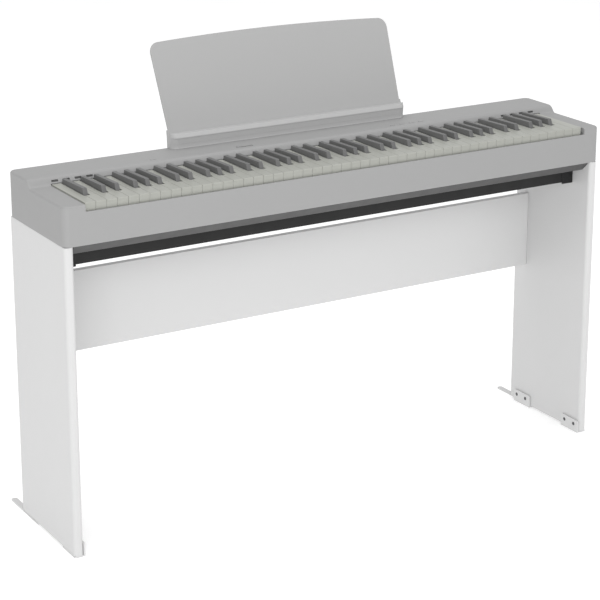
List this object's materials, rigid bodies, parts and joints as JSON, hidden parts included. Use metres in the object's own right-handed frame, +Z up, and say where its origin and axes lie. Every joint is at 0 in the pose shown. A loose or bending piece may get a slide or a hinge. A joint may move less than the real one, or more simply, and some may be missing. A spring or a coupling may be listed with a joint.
{
  "type": "digital piano on stand",
  "caption": "Slab digital piano with pressable keys, buttons, a volume slider and a lift-off music rest, on a white panel stand with a steel front rail and floor feet.",
  "frame": {"origin": "centre of the bounding box's footprint, on the floor", "axes": "+X towards the treble end along the keyboard, +Y away from the player towards the back board, +Z up"},
  "size_m": [1.326, 0.348, 0.9828],
  "materials": {
    "case_grey": "fine-textured satin grey moulding",
    "tray_dark_grey": "textured dark grey moulding",
    "white_key": "smooth off-white key plastic, greyed",
    "black_key": "matt dark grey key plastic",
    "control_grey": "satin grey control plastic",
    "white_board": "particle board with a white satin laminate",
    "black_steel": "black powder coat",
    "white_steel": "white powder coat",
    "keybed_steel": "zinc-plated sheet",
    "bare_steel": "drawn and turned steel",
    "felt": "pressed felt strip",
    "circuit_board": "glass-epoxy board with black components",
    "speaker": "black basket and paper cone"
  },
  "bodies": {
    "piano_and_stand": {"upper_case": "case_grey", "lower_case": "tray_dark_grey", "jack_board": "circuit_board", "main_board": "circuit_board", "panel_board": "circuit_board", "speaker_left": "speaker", "speaker_right": "speaker", "keybed_frame": "keybed_steel", "key_pivot_rod": "bare_steel", "down_stop_felt": "felt", "lip_felt": "felt", "contact_board": "circuit_board", "left_side_panel": "white_board", "right_side_panel": "white_board", "back_board": "white_board", "front_rail": "black_steel", "front_foot_left": "white_steel", "front_foot_right": "white_steel", "rear_foot_left": "white_steel", "rear_foot_right": "white_steel", "board_bracket_left": "white_steel", "board_bracket_right": "white_steel", "piano_bracket_left": "black_steel", "piano_bracket_right": "black_steel", "thumbscrew_left": "bare_steel", "thumbscrew_right": "bare_steel"},
    "music_rest": {"music_rest": "case_grey"},
    "power_button": {"power_button": "control_grey"},
    "volume_slider": {"volume_slider": "control_grey"},
    "function_button_1": {"function_button_1": "control_grey"},
    "function_button_2": {"function_button_2": "control_grey"},
    "function_button_3": {"function_button_3": "control_grey"},
    "function_button_4": {"function_button_4": "control_grey"},
    "white_keys_0": {"white_keys_0": "white_key"},
    "black_keys_0": {"black_keys_0": "black_key"},
    "white_keys_1": {"white_keys_1": "white_key"},
    "black_keys_1": {"black_keys_1": "black_key"},
    "white_keys_2": {"white_keys_2": "white_key"},
    "black_keys_2": {"black_keys_2": "black_key"},
    "white_keys_3": {"white_keys_3": "white_key"},
    "black_keys_3": {"black_keys_3": "black_key"},
    "key_c4": {"key_c4": "white_key"},
    "key_d4": {"key_d4": "white_key"},
    "key_e4": {"key_e4": "white_key"},
    "key_f4": {"key_f4": "white_key"},
    "key_g4": {"key_g4": "white_key"},
    "key_a4": {"key_a4": "white_key"},
    "key_b4": {"key_b4": "white_key"},
    "key_c_sharp4": {"key_c_sharp4": "black_key"},
    "key_d_sharp4": {"key_d_sharp4": "black_key"},
    "key_f_sharp4": {"key_f_sharp4": "black_key"},
    "key_g_sharp4": {"key_g_sharp4": "black_key"},
    "key_a_sharp4": {"key_a_sharp4": "black_key"},
    "white_keys_5": {"white_keys_5": "white_key"},
    "black_keys_5": {"black_keys_5": "black_key"},
    "white_keys_6": {"white_keys_6": "white_key"},
    "black_keys_6": {"black_keys_6": "black_key"},
    "white_keys_7": {"white_keys_7": "white_key"},
    "black_keys_7": {"black_keys_7": "black_key"}
  },
  "joints": [
    {"name": "music_rest_lift", "type": "slide", "parent": "piano_and_stand", "child": "music_rest", "axis": [0, 0, 1], "range_m": [0, 0.08]},
    {"name": "power_button_press", "type": "slide", "parent": "piano_and_stand", "child": "power_button", "axis": [0, 0, -1], "range_m": [0, 0.001], "stiffness_N_per_m": 250, "springref_m": -0.002},
    {"name": "volume_slide", "type": "slide", "parent": "piano_and_stand", "child": "volume_slider", "axis": [1, 0, 0], "range_m": [0, 0.03]},
    {"name": "function_button_1_press", "type": "slide", "parent": "piano_and_stand", "child": "function_button_1", "axis": [0, 0, -1], "range_m": [0, 0.001], "stiffness_N_per_m": 250, "springref_m": -0.002},
    {"name": "function_button_2_press", "type": "slide", "parent": "piano_and_stand", "child": "function_button_2", "axis": [0, 0, -1], "range_m": [0, 0.001], "stiffness_N_per_m": 250, "springref_m": -0.002},
    {"name": "function_button_3_press", "type": "slide", "parent": "piano_and_stand", "child": "function_button_3", "axis": [0, 0, -1], "range_m": [0, 0.001], "stiffness_N_per_m": 250, "springref_m": -0.002},
    {"name": "function_button_4_press", "type": "slide", "parent": "piano_and_stand", "child": "function_button_4", "axis": [0, 0, -1], "range_m": [0, 0.001], "stiffness_N_per_m": 250, "springref_m": -0.002},
    {"name": "key_c4_press", "type": "hinge", "parent": "piano_and_stand", "child": "key_c4", "pos_m": [-0.059, 0.016, 0.7345], "axis": [1, 0, 0], "range_deg": [0, 2.9], "stiffness_Nm_per_rad": 0.6, "springref_deg": -14.32},
    {"name": "key_d4_press", "type": "hinge", "parent": "piano_and_stand", "child": "key_d4", "pos_m": [-0.0354, 0.016, 0.7345], "axis": [1, 0, 0], "range_deg": [0, 2.9], "stiffness_Nm_per_rad": 0.6, "springref_deg": -14.32},
    {"name": "key_e4_press", "type": "hinge", "parent": "piano_and_stand", "child": "key_e4", "pos_m": [-0.0118, 0.016, 0.7345], "axis": [1, 0, 0], "range_deg": [0, 2.9], "stiffness_Nm_per_rad": 0.6, "springref_deg": -14.32},
    {"name": "key_f4_press", "type": "hinge", "parent": "piano_and_stand", "child": "key_f4", "pos_m": [0.0118, 0.016, 0.7345], "axis": [1, 0, 0], "range_deg": [0, 2.9], "stiffness_Nm_per_rad": 0.6, "springref_deg": -14.32},
    {"name": "key_g4_press", "type": "hinge", "parent": "piano_and_stand", "child": "key_g4", "pos_m": [0.0354, 0.016, 0.7345], "axis": [1, 0, 0], "range_deg": [0, 2.9], "stiffness_Nm_per_rad": 0.6, "springref_deg": -14.32},
    {"name": "key_a4_press", "type": "hinge", "parent": "piano_and_stand", "child": "key_a4", "pos_m": [0.059, 0.016, 0.7345], "axis": [1, 0, 0], "range_deg": [0, 2.9], "stiffness_Nm_per_rad": 0.6, "springref_deg": -14.32},
    {"name": "key_b4_press", "type": "hinge", "parent": "piano_and_stand", "child": "key_b4", "pos_m": [0.0826, 0.016, 0.7345], "axis": [1, 0, 0], "range_deg": [0, 2.9], "stiffness_Nm_per_rad": 0.6, "springref_deg": -14.32},
    {"name": "key_c_sharp4_press", "type": "hinge", "parent": "piano_and_stand", "child": "key_c_sharp4", "pos_m": [-0.0502, 0.016, 0.7345], "axis": [1, 0, 0], "range_deg": [0, 2.9], "stiffness_Nm_per_rad": 0.6, "springref_deg": -14.32},
    {"name": "key_d_sharp4_press", "type": "hinge", "parent": "piano_and_stand", "child": "key_d_sharp4", "pos_m": [-0.0206, 0.016, 0.7345], "axis": [1, 0, 0], "range_deg": [0, 2.9], "stiffness_Nm_per_rad": 0.6, "springref_deg": -14.32},
    {"name": "key_f_sharp4_press", "type": "hinge", "parent": "piano_and_stand", "child": "key_f_sharp4", "pos_m": [0.02, 0.016, 0.7345], "axis": [1, 0, 0], "range_deg": [0, 2.9], "stiffness_Nm_per_rad": 0.6, "springref_deg": -14.32},
    {"name": "key_g_sharp4_press", "type": "hinge", "parent": "piano_and_stand", "child": "key_g_sharp4", "pos_m": [0.0472, 0.016, 0.7345], "axis": [1, 0, 0], "range_deg": [0, 2.9], "stiffness_Nm_per_rad": 0.6, "springref_deg": -14.32},
    {"name": "key_a_sharp4_press", "type": "hinge", "parent": "piano_and_stand", "child": "key_a_sharp4", "pos_m": [0.0744, 0.016, 0.7345], "axis": [1, 0, 0], "range_deg": [0, 2.9], "stiffness_Nm_per_rad": 0.6, "springref_deg": -14.32},
    {"name": "white_keys_0_press", "type": "hinge", "parent": "piano_and_stand", "child": "white_keys_0", "pos_m": [-0.59, 0.016, 0.7345], "axis": [1, 0, 0], "range_deg": [0, 2.9], "stiffness_Nm_per_rad": 1.2, "springref_deg": -14.32},
    {"name": "black_keys_0_press", "type": "hinge", "parent": "piano_and_stand", "child": "black_keys_0", "pos_m": [-0.59, 0.016, 0.7345], "axis": [1, 0, 0], "range_deg": [0, 2.9], "stiffness_Nm_per_rad": 0.6, "springref_deg": -14.32},
    {"name": "white_keys_1_press", "type": "hinge", "parent": "piano_and_stand", "child": "white_keys_1", "pos_m": [-0.4838, 0.016, 0.7345], "axis": [1, 0, 0], "range_deg": [0, 2.9], "stiffness_Nm_per_rad": 4.2, "springref_deg": -14.32},
    {"name": "black_keys_1_press", "type": "hinge", "parent": "piano_and_stand", "child": "black_keys_1", "pos_m": [-0.4835, 0.016, 0.7345], "axis": [1, 0, 0], "range_deg": [0, 2.9], "stiffness_Nm_per_rad": 3, "springref_deg": -14.32},
    {"name": "white_keys_2_press", "type": "hinge", "parent": "piano_and_stand", "child": "white_keys_2", "pos_m": [-0.3186, 0.016, 0.7345], "axis": [1, 0, 0], "range_deg": [0, 2.9], "stiffness_Nm_per_rad": 4.2, "springref_deg": -14.32},
    {"name": "black_keys_2_press", "type": "hinge", "parent": "piano_and_stand", "child": "black_keys_2", "pos_m": [-0.3183, 0.016, 0.7345], "axis": [1, 0, 0], "range_deg": [0, 2.9], "stiffness_Nm_per_rad": 3, "springref_deg": -14.32},
    {"name": "white_keys_3_press", "type": "hinge", "parent": "piano_and_stand", "child": "white_keys_3", "pos_m": [-0.1534, 0.016, 0.7345], "axis": [1, 0, 0], "range_deg": [0, 2.9], "stiffness_Nm_per_rad": 4.2, "springref_deg": -14.32},
    {"name": "black_keys_3_press", "type": "hinge", "parent": "piano_and_stand", "child": "black_keys_3", "pos_m": [-0.1531, 0.016, 0.7345], "axis": [1, 0, 0], "range_deg": [0, 2.9], "stiffness_Nm_per_rad": 3, "springref_deg": -14.32},
    {"name": "white_keys_5_press", "type": "hinge", "parent": "piano_and_stand", "child": "white_keys_5", "pos_m": [0.177, 0.016, 0.7345], "axis": [1, 0, 0], "range_deg": [0, 2.9], "stiffness_Nm_per_rad": 4.2, "springref_deg": -14.32},
    {"name": "black_keys_5_press", "type": "hinge", "parent": "piano_and_stand", "child": "black_keys_5", "pos_m": [0.1773, 0.016, 0.7345], "axis": [1, 0, 0], "range_deg": [0, 2.9], "stiffness_Nm_per_rad": 3, "springref_deg": -14.32},
    {"name": "white_keys_6_press", "type": "hinge", "parent": "piano_and_stand", "child": "white_keys_6", "pos_m": [0.3422, 0.016, 0.7345], "axis": [1, 0, 0], "range_deg": [0, 2.9], "stiffness_Nm_per_rad": 4.2, "springref_deg": -14.32},
    {"name": "black_keys_6_press", "type": "hinge", "parent": "piano_and_stand", "child": "black_keys_6", "pos_m": [0.3425, 0.016, 0.7345], "axis": [1, 0, 0], "range_deg": [0, 2.9], "stiffness_Nm_per_rad": 3, "springref_deg": -14.32},
    {"name": "white_keys_7_press", "type": "hinge", "parent": "piano_and_stand", "child": "white_keys_7", "pos_m": [0.5192, 0.016, 0.7345], "axis": [1, 0, 0], "range_deg": [0, 2.9], "stiffness_Nm_per_rad": 4.8, "springref_deg": -14.32},
    {"name": "black_keys_7_press", "type": "hinge", "parent": "piano_and_stand", "child": "black_keys_7", "pos_m": [0.5077, 0.016, 0.7345], "axis": [1, 0, 0], "range_deg": [0, 2.9], "stiffness_Nm_per_rad": 3, "springref_deg": -14.32}
  ]
}
